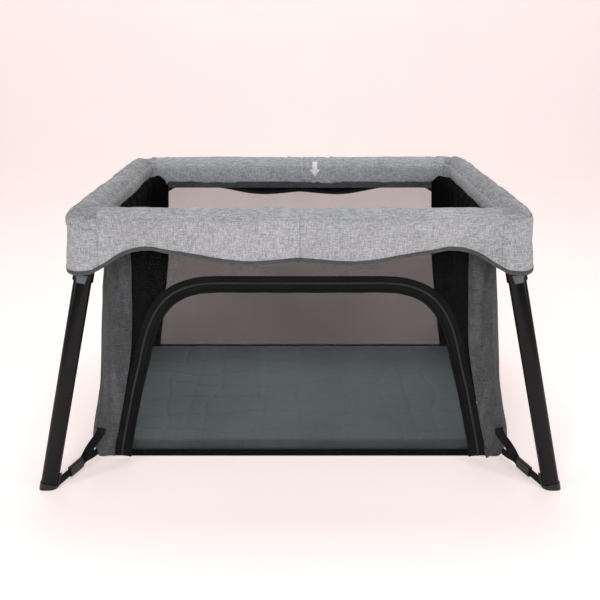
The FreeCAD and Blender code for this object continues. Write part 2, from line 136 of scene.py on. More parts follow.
# small pieces
LABEL_Z, LABEL_HEIGHT = 538 * MM, 40 * MM
LABELS = [("left", -0.034, 46), ("left", 0.022, 38), ("right", 0.025, 120)]  # side, Y, width in mm
ARROW_X, ARROW_LENGTH, ARROW_HEAD, ARROW_SHAFT_HALF, ARROW_HEAD_HALF = [v * MM for v in (43, 42, 20, 7, 16)]

# mattress and straps
PANELS = 5
PAD_SWELL, PAD_BEVEL, PAD_VOXEL, PAD_STEPS = 4 * MM, 6 * MM, 7 * MM, 15
QUILT_DEPTH, QUILT_WIDTH, PANEL_FOLD_DEPTH, PANEL_FOLD_WIDTH = 3.4 * MM, 4.6 * MM, 2.6 * MM, 7 * MM
PIPING_RADIUS = 3 * MM
STRAP_SECTION = [
    (-1, -0.5), (-0.92, -1), (0, -1.0), (0.92, -1), (1, -0.5),
    (1, 0.5), (0.92, 1), (0, 1.0), (-0.92, 1), (-1, 0.5),
]
STRAP_PATCH, STRAP_START, STRAP_LOW = Vector((474, 295, 84)), Vector((479, 296, 68)), Vector((492, 284, 14))
BUCKLE_BACK = 27 * MM

# legs
FOOT = Vector((570 * MM, 409.5 * MM, 0))
LEG_START, LEG_CAP = 50 * MM, 12 * MM
LEG_HALF_WIDTH, LEG_HALF_DEPTH, LEG_SQUARENESS = 19 * MM, 12.5 * MM, 0.86
INSERT_ROWS = [(56, 12), (60, 11.5), (72, 9.5), (75, 8.5)]  # distance from the pivot, half width
INSERT_SECTION = [(-1, -1), (1, -1), (1, 0.4), (0.85, 1), (-0.85, 1), (-1, 0.4)]

# camera and lights, in metres and watts
CAMERA_PLACE, CAMERA_DOWN, CAMERA_LENS = (0, -1.741, 0.963), 20.9, 41.94
LIGHTS = [  # name, place, aim, size, power
    ("key", (-1.6, -5.0, 3.2), (0, 0, 0.35), (2.9, 2.6), 128),
    ("fill", (2.9, -4.0, 2.2), (0, 0, 0.35), (1.8, 2.4), 44),
    ("strip_left", (-2.2, -1.5, 1.2), (-0.4, -0.4, 0.3), (0.25, 1.6), 10),
    ("strip_right", (2.2, -1.5, 1.2), (0.4, -0.4, 0.3), (0.25, 1.6), 10),
    ("top", (0, 0.8, 3.0), (0, 0, 0.2), (1.3, 0.9), 30),
]


# ---- materials
class Nodes:
    """A new material with short names for adding and linking its nodes."""

    def __init__(self, name):
        self.material = bpy.data.materials.new(name)
        self.material.use_nodes = True
        self.tree = self.material.node_tree
        self.shader = self.tree.nodes["Principled BSDF"]
        self.coordinate = self.tree.nodes.new("ShaderNodeTexCoord").outputs["Object"]

    def link(self, source, node, socket):
        self.tree.links.new(source, node.inputs[socket])

    def new(self, kind, **inputs):
        node = self.tree.nodes.new(f"ShaderNode{kind}")
        for name, value in inputs.items():
            node.inputs[name.replace("_", " ")].default_value = value
        return node

    def mapped(self, scale):
        node = self.new("Mapping", Scale=scale)
        self.link(self.coordinate, node, "Vector")
        return node.outputs[0]

    def noise(self, scale, detail=3, rough=0.55, stretch=(1, 1, 1)):
        node = self.new("TexNoise", Scale=scale, Detail=detail, Roughness=rough)
        self.link(self.mapped(stretch), node, "Vector")
        return node.outputs["Fac"]

    def wave(self, scale, direction, distortion):
        node = self.new("TexWave", Scale=scale, Distortion=distortion)
        node.bands_direction = direction
        self.link(self.mapped((1, 1, 1)), node, "Vector")
        return node.outputs["Fac"]

    def math(self, operation, first, second):
        node = self.new("Math")
        node.operation = operation
        for index, value in enumerate([first, second]):
            if isinstance(value, (int, float)):
                node.inputs[index].default_value = value
            else:
                self.tree.links.new(value, node.inputs[index])
        return node.outputs[0]

    def plus(self, first, second):
        return self.math("ADD", first, second)

    def minus(self, first, second):
        return self.math("SUBTRACT", first, second)

    def times(self, first, second):
        return self.math("MULTIPLY", first, second)

    def ramp(self, factor, stops):
        node = self.new("ValToRGB")
        elements = node.color_ramp.elements
        while len(elements) < len(stops):
            elements.new(0.5)
        for element, (place, colour) in zip(elements, stops):
            element.position = place
            element.color = (*colour, 1)
        self.link(factor, node, "Fac")
        return node.outputs["Color"]

    def span(self, factor, low, high):
        node = self.new("MapRange", To_Min=low, To_Max=high)
        self.link(factor, node, "Value")
        return node.outputs[0]

    def bump(self, height, strength, distance):
        node = self.new("Bump", Strength=strength, Distance=distance)
        self.link(height, node, "Height")
        self.link(node.outputs[0], self.shader, "Normal")

    def finish(self, colour, rough, **constants):
        self.link(colour, self.shader, "Base Color")
        self.link(rough, self.shader, "Roughness")
        for name, value in constants.items():
            self.shader.inputs[name.replace("_", " ")].default_value = value
        return self.material


def shade(value, tint=(1, 1, 1)):
    return tuple(value * part for part in tint)


def melange(name, dark, mid, light, tint, sheen, gather=0.0, stretch=(16, 62, 16)):
    """Plain weave of uneven threads: flecks along both directions over a fine weave.

    Gathered cloth has close folds as well, long in the direction that the stretch is least in; the colour is
    darker in each fold's hollow, as painted shade.
    """
    n = Nodes(name)
    across = n.noise(60, 4, 0.7, (1, 1, 7))
    down = n.noise(60, 4, 0.7, (7, 7, 1))
    fine = n.noise(420, 2, 0.6)
    threads = n.plus(n.times(across, 0.36), n.times(down, 0.36))
    mixed = n.plus(threads, n.times(fine, 0.28))
    patches = n.times(n.noise(7, 3, 0.6), 0.10)
    value = n.plus(mixed, n.minus(patches, 0.05))
    weave = n.plus(n.wave(190, "Z", 1.5), n.wave(190, "DIAGONAL", 1.5))
    height = n.plus(n.times(weave, 0.4), mixed)
    if gather:
        ridges = n.math("ABSOLUTE", n.minus(n.noise(1, 2.5, 0.5, stretch), 0.5), 0)
        folds = n.math("MINIMUM", n.times(ridges, 7.0), 1.0)
        height = n.plus(height, n.times(folds, gather))
        # painted shade: the colour is darkened along the bottom of each fold
        value = n.plus(value, n.times(n.minus(folds, 0.8), 0.07))
    colour = n.ramp(value, [(0.38, shade(dark, tint)), (0.5, shade(mid, tint)), (0.62, shade(light, tint))])
    n.bump(height, 0.55, 0.0012)
    rough = n.span(mixed, 0.82, 0.97)
    return n.finish(colour, rough, Sheen_Weight=sheen, Sheen_Roughness=0.6, Specular_IOR_Level=0.2)


def black_cloth(name, base, grain):
    n = Nodes(name)
    fine = n.noise(500, 3, 0.6)
    patches = n.noise(14, 3, 0.5)
    colour = n.ramp(n.plus(n.times(fine, 0.6), n.times(patches, 0.4)),
                    [(0.35, shade(base * 0.6)), (0.65, shade(base * 1.7, (0.94, 1, 1.05)))])
    n.bump(n.plus(fine, n.wave(grain, "Z", 1.0)), 0.5, 0.0008)
    return n.finish(colour, n.span(fine, 0.75, 0.95), Specular_IOR_Level=0.05)


def webbing_material():
    """Ribbed polypropylene webbing: close ribs with a slight gloss on each."""
    n = Nodes("webbing")
    ribs = n.wave(260, "DIAGONAL", 0.6)
    fine = n.noise(700, 2, 0.6)
    colour = n.ramp(n.times(n.plus(ribs, fine), 0.5),
                    [(0.3, shade(0.003)), (0.7, shade(0.014, (0.9, 1, 1.08)))])
    n.bump(n.plus(ribs, n.times(fine, 0.4)), 0.8, 0.0012)
    return n.finish(colour, n.span(fine, 0.5, 0.75), Specular_IOR_Level=0.15)


def knitted_mesh(name, mean):
    """Black knitted net: round holes in rows, so that what lies behind shows through."""
    n = Nodes(name)
    holes = n.new("TexVoronoi", Scale=520, Randomness=0.12)
    n.link(n.coordinate, holes, "Vector")
    drift = n.times(n.minus(n.noise(5, 3, 0.5), 0.5), 0.12)
    hole = n.span(holes.outputs["Distance"], mean * 0.86, mean * 1.20)
    alpha = n.plus(hole, drift)
    n.link(alpha, n.shader, "Alpha")
    colour = n.ramp(n.noise(300, 2, 0.5), [(0.3, shade(0.004)), (0.7, shade(0.010, (0.95, 1, 1.04)))])
    return n.finish(colour, n.span(n.noise(90), 0.6, 0.85), Specular_IOR_Level=0.04)


def moulded(name, base, tint, rough_low, rough_high, grain=900, depth=0.25, shine=0.35):
    n = Nodes(name)
    fine = n.noise(grain, 3, 0.6)
    broad = n.noise(30, 3, 0.5)
    value = n.plus(n.times(fine, 0.4), n.times(broad, 0.6))
    colour = n.ramp(value, [(0.3, shade(base * 0.75, tint)), (0.7, shade(base * 1.3, tint))])
    n.bump(fine, depth, 0.0004)
    return n.finish(colour, n.span(broad, rough_low, rough_high), Specular_IOR_Level=shine)


def metal(name, base, rough_low, rough_high, metallic, stretch):
    n = Nodes(name)
    drawn = n.noise(60, 4, 0.6, stretch)
    broad = n.noise(12, 3, 0.6)
    colour = n.ramp(n.times(n.plus(drawn, broad), 0.5),
                    [(0.3, shade(base * 0.8)), (0.7, shade(base * 1.2, (0.97, 1, 1.03)))])
    n.bump(drawn, 0.08, 0.0004)
    return n.finish(colour, n.span(broad, rough_low, rough_high), Metallic=metallic)


def quilted_cloth():
    """The mattress cover: blue-grey melange with fine streaks."""
    n = Nodes("mattress_cover")
    streaks = n.noise(70, 4, 0.7, (1, 5, 1))
    cross = n.noise(70, 4, 0.7, (5, 1, 1))
    fine = n.noise(480, 2, 0.6)
    threads = n.times(n.plus(streaks, cross), 0.36)
    mixed = n.plus(threads, n.times(fine, 0.28))
    patches = n.times(n.noise(6, 3, 0.5), 0.12)
    value = n.plus(mixed, n.minus(patches, 0.06))
    tint = (0.84, 1.0, 1.06)
    colour = n.ramp(value, [(0.36, shade(0.62, tint)), (0.5, shade(0.82, tint)), (0.64, shade(0.93, tint))])
    n.bump(n.plus(mixed, n.times(n.wave(200, "X", 1.5), 0.3)), 0.5, 0.001)
    return n.finish(colour, n.span(mixed, 0.85, 0.98), Sheen_Weight=0.15, Specular_IOR_Level=0.15)


COOL = (0.97, 1.0, 1.05)
MATERIALS = {
    # the rail fabric is the gathered fabric's cloth painted about 5% lighter, as painted light on the long
    # covers
    "rail": melange("rail_fabric", 0.185, 0.35, 0.57, (0.965, 1.0, 1.06), 0.10),
    "gathered": melange("gathered_fabric", 0.175, 0.33, 0.54, (0.965, 1.0, 1.06), 0.10, 4.5),
    "panel": melange("panel_fabric", 0.040, 0.075, 0.125, (0.93, 1.0, 1.06), 0.06, 5.0, (24, 24, 5)),
    "lining": black_cloth("black_lining", 0.003, 240),
    "binding": melange("binding_tape", 0.035, 0.065, 0.105, (0.95, 1.0, 1.04), 0.1),
    "webbing": webbing_material(),
    "net": knitted_mesh("front_net", 0.48),
    "back_net": knitted_mesh("back_net", 0.34),
    "mattress": quilted_cloth(),
    "piping": black_cloth("black_piping", 0.008, 300),
    "zip_tape": black_cloth("zip_tape", 0.009, 420),
    "zip_coil": moulded("zip_coil", 0.035, COOL, 0.3, 0.45),
    "floor_cloth": black_cloth("coated_cloth", 0.012, 180),
    "leg": moulded("leg_paint", 0.003, (0.9, 1.0, 1.1), 0.16, 0.20, 260, 0.03, 0.2),
    "foot": moulded("foot_plastic", 0.010, (0.8, 1.0, 1.15), 0.42, 0.55),
    "insert": moulded("hinge_insert", 0.10, (0.85, 1.0, 1.12), 0.35, 0.5),
    "grey": moulded("grey_plastic", 0.085, (0.85, 1.0, 1.12), 0.35, 0.5),
    "black": moulded("black_plastic", 0.014, COOL, 0.4, 0.55),
    "buckle": moulded("buckle_plastic", 0.004, COOL, 0.26, 0.36),
    "tube": metal("frame_tube", 0.55, 0.28, 0.4, 1.0, (8, 1, 8)),
    "steel": metal("steel_rivet", 0.5, 0.3, 0.4, 1.0, (4, 1, 4)),
    "print": melange("white_print", 0.62, 0.80, 0.92, (1, 1, 1), 0.0),
    "label": melange("label_tape", 0.22, 0.32, 0.42, (0.95, 1, 1.04), 0.0),
}
CAD_LOOKS = {
    "side_rail": "tube", "front_rail": "tube", "back_rail": "tube", "rail_ends": "black",
    "centre_hinge": "black", "corner_bracket": "black", "release_button": "grey", "pivot_pins": "steel",
    "hinge_pins": "steel", "leg_tube": "leg", "leg_hinge": "leg", "leg_foot": "foot",
    "buckle_plug": "buckle", "buckle_sockets": "buckle",
}


def dress_cad_nodes():
    """Gives each hard CAD piece its own finish."""
    for name, piece in frame["nodes"].items():
        for start, look in CAD_LOOKS.items():
            if name.startswith(start):
                for place in piece.material_slots:
                    place.material = MATERIALS[look]


# ---- mesh making
def new_piece(name, points, faces, looks, face_looks=None, smooth=True):
    mesh = bpy.data.meshes.new(name)
    mesh.from_pydata([tuple(point) for point in points], [], faces)
    for look in looks:
        mesh.materials.append(MATERIALS[look])
    if face_looks:
        mesh.polygons.foreach_set("material_index", face_looks)
    mesh.polygons.foreach_set("use_smooth", [smooth] * len(faces))
    mesh.update()
    piece = bpy.data.objects.new(name, mesh)
    bpy.context.scene.collection.objects.link(piece)
    return piece


def grid_normals(rows):
    """A normal at each point of a grid, from its neighbours."""
    normals = []
    for i, row in enumerate(rows):
        above = rows[max(i - 1, 0)]
        below = rows[min(i + 1, len(rows) - 1)]
        line = []
        for j in range(len(row)):
            before = row[max(j - 1, 0)]
            after = row[min(j + 1, len(row) - 1)]
            line.append((below[j] - above[j]).cross(after - before).normalized())
        normals.append(line)
    return normals


def turned(rows, i, j, direction):
    """The rows, reversed if the normal at one point of the grid faces away from a direction."""
    if grid_normals(rows)[i][j].dot(direction) < 0:
        return [list(reversed(row)) for row in rows]
    return rows


def angles(count):
    return [2 * pi * k / count for k in range(count)]


def loop_grid(name, rows, looks, capped=True):
    """A closed tube: each row is one ring."""
    count = len(rows[0])
    points = [point for row in rows for point in row]
    faces = []
    for i in range(len(rows) - 1):
        for j in range(count):
            k = (j + 1) % count
            faces.append((i * count + j, i * count + k, (i + 1) * count + k, (i + 1) * count + j))
    if capped:
        faces.append(tuple(reversed(range(count))))
        faces.append(tuple(range(len(points) - count, len(points))))
    return new_piece(name, points, faces, looks)


def cloth_grid(name, rows, thickness, looks):
    """A sheet with two faces and sewn-round edges. The first look is on the side that the normals face."""
    normals = grid_normals(rows)
    height, width = len(rows), len(rows[0])
    points = [point for row in rows for point in row]
    points += [p - n * thickness for row, line in zip(rows, normals) for p, n in zip(row, line)]
    size = height * width
    faces, face_looks = [], []

    def add(face, look):
        faces.append(face)
        face_looks.append(look)

    back_look = len(looks) - 1
    for i in range(height - 1):
        for j in range(width - 1):
            a = i * width + j
            add((a, a + width, a + width + 1, a + 1), 0)
            add((size + a, size + a + 1, size + a + width + 1, size + a + width), back_look)
    rim = list(range(width))
    rim += [i * width + width - 1 for i in range(1, height)]
    rim += [(height - 1) * width + j for j in range(width - 2, -1, -1)]
    rim += [i * width for i in range(height - 2, 0, -1)]
    for a, b in zip(rim, rim[1:] + rim[:1]):
        add((a, b, size + b, size + a), 0)
    return new_piece(name, points, faces, looks, face_looks)


def flat_region(name, outlines, y, thickness, look):
    """A flat sheet in the XZ plane between an outline and any holes in it."""
    loops = [[Vector((x, y, z)) for x, z in outline] for outline in outlines]
    corners = [point for loop in loops for point in loop]
    triangles = [tuple(face) for face in tessellate_polygon(loops)]
    count = len(corners)
    points = corners + [point + Vector((0, thickness, 0)) for point in corners]
    faces = []
    for a, b, c in triangles:
        normal = (corners[b] - corners[a]).cross(corners[c] - corners[a])
        if normal.y > 0:
            b, c = c, b
        faces += [(a, b, c), (count + a, count + c, count + b)]
    start = 0
    for loop in loops:
        for j in range(len(loop)):
            a, b = start + j, start + (j + 1) % len(loop)
            faces.append((a, b, count + b, count + a))
        start += len(loop)
    return new_piece(name, points, faces, [look], smooth=False)


def smooth_value(table, place):
    """A smooth curve through (place, value) pairs, by cubics with slopes from the pairs on each side."""
    places = [pair[0] for pair in table]
    values = [pair[1] for pair in table]
    if place <= places[0]:
        return values[0]
    if place >= places[-1]:
        return values[-1]
    i = max(k for k in range(len(places) - 1) if places[k] <= place)

    def slope(k):
        low, high = max(k - 1, 0), min(k + 1, len(places) - 1)
        return (values[high] - values[low]) / (places[high] - places[low])

    step = places[i + 1] - places[i]
    t = (place - places[i]) / step
    return (
        (2 * t**3 - 3 * t**2 + 1) * values[i] + (t**3 - 2 * t**2 + t) * step * slope(i)
        + (3 * t**2 - 2 * t**3) * values[i + 1] + (t**3 - t**2) * step * slope(i + 1)
    )


def curve(line):
    """A smooth line through the points, by Catmull-Rom in eight steps from each to the next."""
    fine = []
    for i, (a, b) in enumerate(zip(line, line[1:])):
        before, after = line[max(i - 1, 0)], line[min(i + 2, len(line) - 1)]
        for k in range(8):
            t = k / 8
            square = (2 * before - 5 * a + 4 * b - after) * t * t
            cube = (3 * a - before - 3 * b + after) * t**3
            fine.append(0.5 * (2 * a + (b - before) * t + square + cube))
    fine.append(line[-1])
    return fine


def bag_value(table, height):
    return smooth_value(list(zip(BAG_HEIGHTS, table)), height / MM) * MM


def hump(value, centre, width):
    return math.exp(-(((value - centre) / width) ** 2))


def spread(start, end, step):
    count = max(2, round(abs(end - start) / step) + 1)
    return [start + (end - start) * i / (count - 1) for i in range(count)]


# ---- padded covers
def end_path(side):
    """Places along an end frame's cover, from front to back, each with its outward direction."""
    sx = SIDES[side]
    places = []
    turn_x, turn_y = COVER_X - CORNER_RADIUS, RAIL_Y - CORNER_RADIUS
    for x in spread(END_PIECE_X, turn_x, PATH_STEP):
        places.append((Vector((sx * x, -RAIL_Y, 0)), Vector((0, -1, 0))))
    for i in range(1, CORNER_STEPS):
        angle = math.radians(90 * i / CORNER_STEPS)
        out = Vector((sx * sin(angle), -cos(angle), 0))
        places.append((Vector((sx * turn_x, -turn_y, 0)) + out * CORNER_RADIUS, out))
    front = list(places)
    for y in spread(-turn_y, turn_y, PATH_STEP):
        places.append((Vector((sx * COVER_X, y, 0)), Vector((sx, 0, 0))))
    for centre, out in reversed(front):
        places.append((Vector((centre.x, -centre.y, 0)), Vector((out.x, -out.y, 0))))
    return places


def long_path(end, start, stop):
    sy = ENDS[end]
    return [(Vector((x, sy * RAIL_Y, 0)), Vector((0, sy, 0))) for x in spread(start, stop, PATH_STEP)]


def relief(p, amount=1.0):
    """Small unevenness of cloth over foam, in metres along the normal."""
    value = 1.3 * noise.noise(p * 9) + 0.8 * noise.noise(p * 27) + 0.35 * noise.noise(p * 70)
    return amount * value * MM


def corner_closeness(centre):
    """1 at the point of a corner, falling to 0 away from it."""
    away = Vector((abs(centre.x) - COVER_X, abs(centre.y) - RAIL_Y)).length
    return max(0.0, 1 - away / CORNER_REACH)


def gathers(centre, out, angle):
    """Folds that run round the sleeve, slanting, close together on the end rails and at the corners."""
    near = corner_closeness(centre)
    share = max(near, 0.75 * abs(out.x))
    if share <= 0:
        return 0.0
    along = centre.x * 0.8 - centre.y + 0.35 * cos(angle) * SLEEVE_RADIUS
    seed = Vector((along * 40, angle * 0.7, centre.x))
    folds = noise.noise(seed) + 0.6 * noise.noise(Vector((along * 95, angle * 0.9, 3.1)))
    sharp = -abs(noise.noise(Vector((along * 62 + 0.6 * angle, angle * 0.8, 9.7)))) * 1.6 + 0.35
    return share * (3.2 * folds + 5.5 * sharp) * MM


CREASES = [  # on the long covers: X, lean, width in mm, depth in mm
    (-0.056, 0.25, 4.5, 3.2), (0.003, -0.1, 3.5, 2.4), (0.062, 0.45, 5.0, 3.0), (0.088, -0.35, 4.0, 2.2),
    (-0.030, -0.5, 3.0, 1.4), (0.034, 0.2, 3.0, 1.5), (-0.395, 0.3, 5, 2.0), (0.398, -0.3, 5, 2.0),
]


def creases(point, end_sign):
    total = 0.0
    rise = point.z - COVER_Z
    for x, lean, width, depth in CREASES:
        place = x + 0.006 * end_sign + lean * rise
        fade = 0.5 + 0.5 * sin(40 * rise + 30 * x)
        total -= depth * (0.35 + 0.65 * fade) * hump(point.x, place, width * MM)
        total += 0.5 * depth * hump(point.x, place + 1.8 * width * MM, width * MM)
    return total * MM


def sleeve_rows(path, end_sign):
    rows = []
    for centre, out in path:
        row = []
        for angle in angles(36):
            normal = out * cos(angle) + UP * sin(angle)
            point = centre + UP * COVER_Z + normal * SLEEVE_RADIUS
            move = relief(point) + gathers(centre, out, angle)
            if abs(out.y) > STRAIGHT:
                move += creases(point, end_sign or out.y)
            row.append(point + normal * min(move, SLEEVE_SWELL_MAX))
        rows.append(row)
    return rows


def skirt_edge(centre, out):
    """The height of the skirt's lower edge beside a place on the frame."""
    if abs(out.y) > STRAIGHT:
        return smooth_value(SKIRT_LOW, abs(centre.x) / MM) * MM
    if abs(out.x) > STRAIGHT:
        return smooth_value(SIDE_SKIRT_LOW, abs(centre.y) / MM) * MM
    share = math.atan2(abs(out.x), abs(out.y)) / (pi / 2)
    start = smooth_value(SKIRT_LOW, (COVER_X - CORNER_RADIUS) / MM)
    stop = smooth_value(SIDE_SKIRT_LOW, (RAIL_Y - CORNER_RADIUS) / MM)
    dip = -7 * sin(pi * share)
    return (start + (stop - start) * share + dip) * MM


def skirt_profile(centre, out, share, inner=False):
    """A point of the hanging cloth: share 0 is on the sleeve's shoulder, 1 is the lower edge."""
    top = COVER_Z + SLEEVE_RADIUS * sin(SHOULDER)
    near = corner_closeness(centre)
    if inner:
        low = RAIL_Z - LINING_DROP * (1 + smooth_step(abs(out.y)))
    else:
        low = skirt_edge(centre, out)
    height = top + (low - top) * share
    angle = math.asin(max(-1, min(1, (height - COVER_Z) / SLEEVE_RADIUS)))
    if height > COVER_Z:
        reach = math.sqrt(SLEEVE_RADIUS**2 - (height - COVER_Z) ** 2)
    else:
        fall = (COVER_Z - height) / (COVER_Z - low)
        taper = 13 * fall**2.2 if inner else 5.5 * (1 - min(1, 2 * near)) * fall**1.6
        reach = SLEEVE_RADIUS - taper * MM
        if not inner:
            diagonal = 4 * out.x**2 * out.y**2
            reach += (6 * min(1, 2.2 * near) + 7 * diagonal) * MM * smooth_step(fall)
    reach += 0.9 * MM
    sign = -1 if inner else 1
    point = centre + out * (sign * reach) + UP * height
    fade = min(1, max(0, (top - height) / (25 * MM)))
    folds = gathers(centre, out, angle if not inner else pi - angle)
    move = relief(point, 0.9 + 0.3 * fade) + folds * (1 - 0.65 * fade)
    move += fade * 2.2 * noise.noise(Vector((point.x * 7, point.y * 7, point.z * 2))) * MM
    if abs(out.y) > STRAIGHT:
        move += creases(point, out.y) * (1 - 0.6 * fade)
    inward = SKIRT_IN_MAX * (1 if fade > 0.5 else 0.35)
    return point + out * sign * max(min(move, SKIRT_OUT_MAX), -inward)


def drape(name, path, inner):
    """The skirt that hangs outside a cover, or the lining inside it."""
    shares = [i / 18 for i in range(19)]
    rows = [[skirt_profile(centre, out, share, inner) for share in shares] for centre, out in path]
    outward = path[len(path) // 2][1] * (-1 if inner else 1)
    rows = turned(rows, len(rows) // 2, 9, outward)
    looks = ["rail"] if inner else ["rail", "lining"]
    piece = cloth_grid(name, rows, SKIRT_CLOTH, looks)
    return piece


def binding(name, path):
    """The doubled tape round the skirt's lower edge."""
    rows = []
    for centre, out in path:
        low = skirt_profile(centre, out, 1.0)
        above = skirt_profile(centre, out, 0.86)
        down = (low - above).normalized()
        base = low - out * SKIRT_CLOTH / 2
        rows.append([base + down * (a * BINDING_WIDTH / 2) + out * (b * BINDING_HALF_DEPTH)
                     for a, b in BINDING_SECTION])
    return loop_grid(name, rows, ["binding"])


def smooth_step(value):
    value = max(0.0, min(1.0, value))
    return value * value * (3 - 2 * value)


def make_sleeve(name, path, end_sign, look):
    return loop_grid(name, sleeve_rows(path, end_sign), [look], False)


def hanging_cloth(name, path):
    return (
        drape(f"skirt_{name}", path, False),
        drape(f"drape_{name}", path, True),
        binding(f"binding_{name}", path),
    )


def make_covers():
    """Padded sleeves with their skirts, linings and bindings, in place of the frame's plain covers: the end
    pieces ride the end frames, the long skirts ride the rail halves, and the long sleeves stay where they
    are made.
    """
    for side, sx in SIDES.items():
        path = end_path(side)
        sleeve = make_sleeve(f"cover_{side}_end", path, 0, "gathered")
        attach(sleeve, f"{side}_end")
        for piece in hanging_cloth(f"{side}_end", path):
            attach(piece, f"{side}_end")
        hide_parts(f"side_cover_{side}")
        for end, sy in ENDS.items():
            outer = long_path(end, sx * END_PIECE_X, sx * LONG_SPLIT)
            sleeve = make_sleeve(f"cover_{end}_{side}", outer, sy, "rail")
            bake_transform(sleeve)
            inner = long_path(end, sx * LONG_SPLIT, 0)
            knuckle = make_sleeve(f"cover_{end}_middle_{side}", inner, sy, "rail")
            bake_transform(knuckle)
            for piece in hanging_cloth(f"{end}_{side}", long_path(end, sx * END_PIECE_X, 0)):
                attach(piece, f"rails_{side}")
                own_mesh(piece)
        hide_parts(f"rail_covers_{side}")


def back_face(x, along):
    """A point on the back rail's inner face: along is the distance down from the edge of its top."""
    centre, out = Vector((x, RAIL_Y, 0)), Vector((0, 1, 0))
    angle = math.radians(138) + along / SLEEVE_RADIUS
    top = COVER_Z + SLEEVE_RADIUS * sin(SHOULDER)
    low = RAIL_Z - 2 * LINING_DROP
    height = COVER_Z + SLEEVE_RADIUS * sin(angle)
    if angle > pi:
        height = COVER_Z - (angle - pi) * SLEEVE_RADIUS
    if height < top:
        return skirt_profile(centre, out, (top - height) / (top - low), True) - out * 0.7 * MM
    normal = Vector((0, cos(angle), sin(angle)))
    base = centre + UP * COVER_Z + normal * SLEEVE_RADIUS
    return base + normal * (min(relief(base) + creases(base, 1), SLEEVE_SWELL_MAX) + 1.6 * MM)


def make_arrow():
    """A plain down arrow printed on the back rail's inner face."""
    shaft = ARROW_LENGTH - ARROW_HEAD
    steps = [i / 8 for i in range(9)]
    lines = [(shaft * t, ARROW_SHAFT_HALF) for t in steps]
    lines += [(shaft + ARROW_HEAD * t, ARROW_HEAD_HALF * (1 - t)) for t in steps]
    points, faces = [], []
    for along, half in lines:
        points += [back_face(ARROW_X + k * half, along) for k in (-1, -0.33, 0.33, 1)]
    for i in range(len(lines) - 1):
        for k in range(3):
            a = i * 4 + k
            faces.append((a, a + 1, a + 5, a + 4))
    arrow = new_piece("printed_arrow", points, faces, ["print"])
    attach(arrow, "rails_right")
    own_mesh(arrow)


# ---- bag
def bag_ride(piece, body="left_end"):
    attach(piece, body)
    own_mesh(piece)


def back_mesh_x(height):
    return smooth_value(BACK_MESH_X, height / MM) * MM


def panel_relief(point, height):
    """Upright folds, deepest near the top where the cloth is gathered into the cover."""
    along = point.x + point.y * 0.8
    top = max(0.0, (height - 0.33) / 0.23)
    low = max(0.0, 1 - height / 0.12)
    lean = along + 0.28 * height
    folds = 5.5 * noise.noise(Vector((lean * 26, height * 3.0, point.y)))
    creased = 3.2 * (0.25 - abs(noise.noise(Vector((lean * 38, height * 4.0, 7.7)))))
    pulls = 3.4 * top * sin(lean * 150 + 2 * noise.noise(Vector((height * 14, along * 9, 2))))
    return (folds + creased + pulls + low * 1.4 * noise.noise(point * 30)) * MM


def corner_y_at(height):
    return CORNER_Y + CORNER_SPREAD * (1 - height / BAG_TOP)


def lined_panel(name, rows):
    """A stretched cloth wall with a black lining, its last row carried up into the cover."""
    panel = cloth_grid(name, rows, PANEL_THICKNESS, ["panel", "lining"])
    bag_ride(panel)
    return panel


def corner_panel(side, end):
    sx, sy = SIDES[side], ENDS[end]
    rows = []
    panel_y = WALL_Y + 2 * MM
    for height in spread(BAG_FOOT, BAG_TOP, 8 * MM):
        mesh_x = bag_value(MESH_X, height) if sy < 0 else back_mesh_x(height)
        seam_x = bag_value(SEAM_X, height)
        side_x = bag_value(SIDE_WALL_X, height)
        corner_y = corner_y_at(height)
        line = []
        for t in spread(0, 1, 1 / 10):
            line.append(Vector((mesh_x + (seam_x - mesh_x) * t, panel_y, height)))
        for t in spread(0, 1, 1 / 14)[1:]:
            bow = 3 * MM * sin(pi * t)
            x, y = seam_x + (side_x - seam_x) * t, panel_y + (corner_y - panel_y) * t
            line.append(Vector((x + bow, y + bow, height)))
        line.append(Vector((side_x, corner_y - 10 * MM, height)))
        row = []
        for j, point in enumerate(line):
            place = Vector((sx * point.x, sy * point.y, point.z))
            edge = min(1, j / 3) * min(1, (len(line) - 1 - j) / 2)
            seam = -1.8 * MM * hump(j, 10, 1.2)
            push = Vector((sx * 0.5, sy * 0.85, 0)) * (edge * panel_relief(place, height) + seam)
            row.append(place + push)
        rows.append(row)
    rows.append([point + Vector((sx * 8, sy * 4, 17)) * MM for point in rows[-1]])
    return lined_panel(f"corner_panel_{end}_{side}", turned(rows, 30, 5, Vector((0, sy, 0))))


def side_wall(side):
    sx = SIDES[side]
    rows = []
    for height in spread(BAG_FOOT, BAG_TOP, 10 * MM):
        x = bag_value(SIDE_WALL_X, height)
        reach = corner_y_at(height) - 8 * MM
        bow = 4 * MM * sin(pi * height / BAG_TOP)
        row = []
        for step in range(-28, 29):
            y = reach * step / 28
            fade = min(1, (reach - abs(y)) / (40 * MM))
            wrinkle = 0.6 * fade * panel_relief(Vector((0, y, height)), height)
            row.append(Vector((sx * (x - bow * cos(y / reach * pi / 2) + wrinkle), y, height)))
        rows.append(row)
    rows.append([point + Vector((sx * 10, 0, 17)) * MM for point in rows[-1]])
    return lined_panel(f"side_wall_{side}", turned(rows, 5, 5, Vector((sx, 0, 0))))


def mirrored(points):
    """Half an outline on the right, from low to high, made whole."""
    return points + [(-x, z) for x, z in reversed(points) if x > 1e-6]


def door_side(inset):
    """The arch's right half, moved inwards by an inset, from the bottom to the middle of the top."""
    fine = curve([Vector((x, z)) * MM for x, z in DOOR_POINTS])
    moved = []
    for i, point in enumerate(fine):
        tangent = fine[min(i + 1, len(fine) - 1)] - fine[max(i - 1, 0)]
        place = point + Vector((-tangent.y, tangent.x)).normalized() * inset
        moved.append((max(place.x, 0.0), place.y))
    return moved


def arch_line(inset):
    """The whole arch from bottom right over the top to bottom left."""
    right = door_side(inset)
    return right + [(-x, z) for x, z in reversed(right[:-1])]


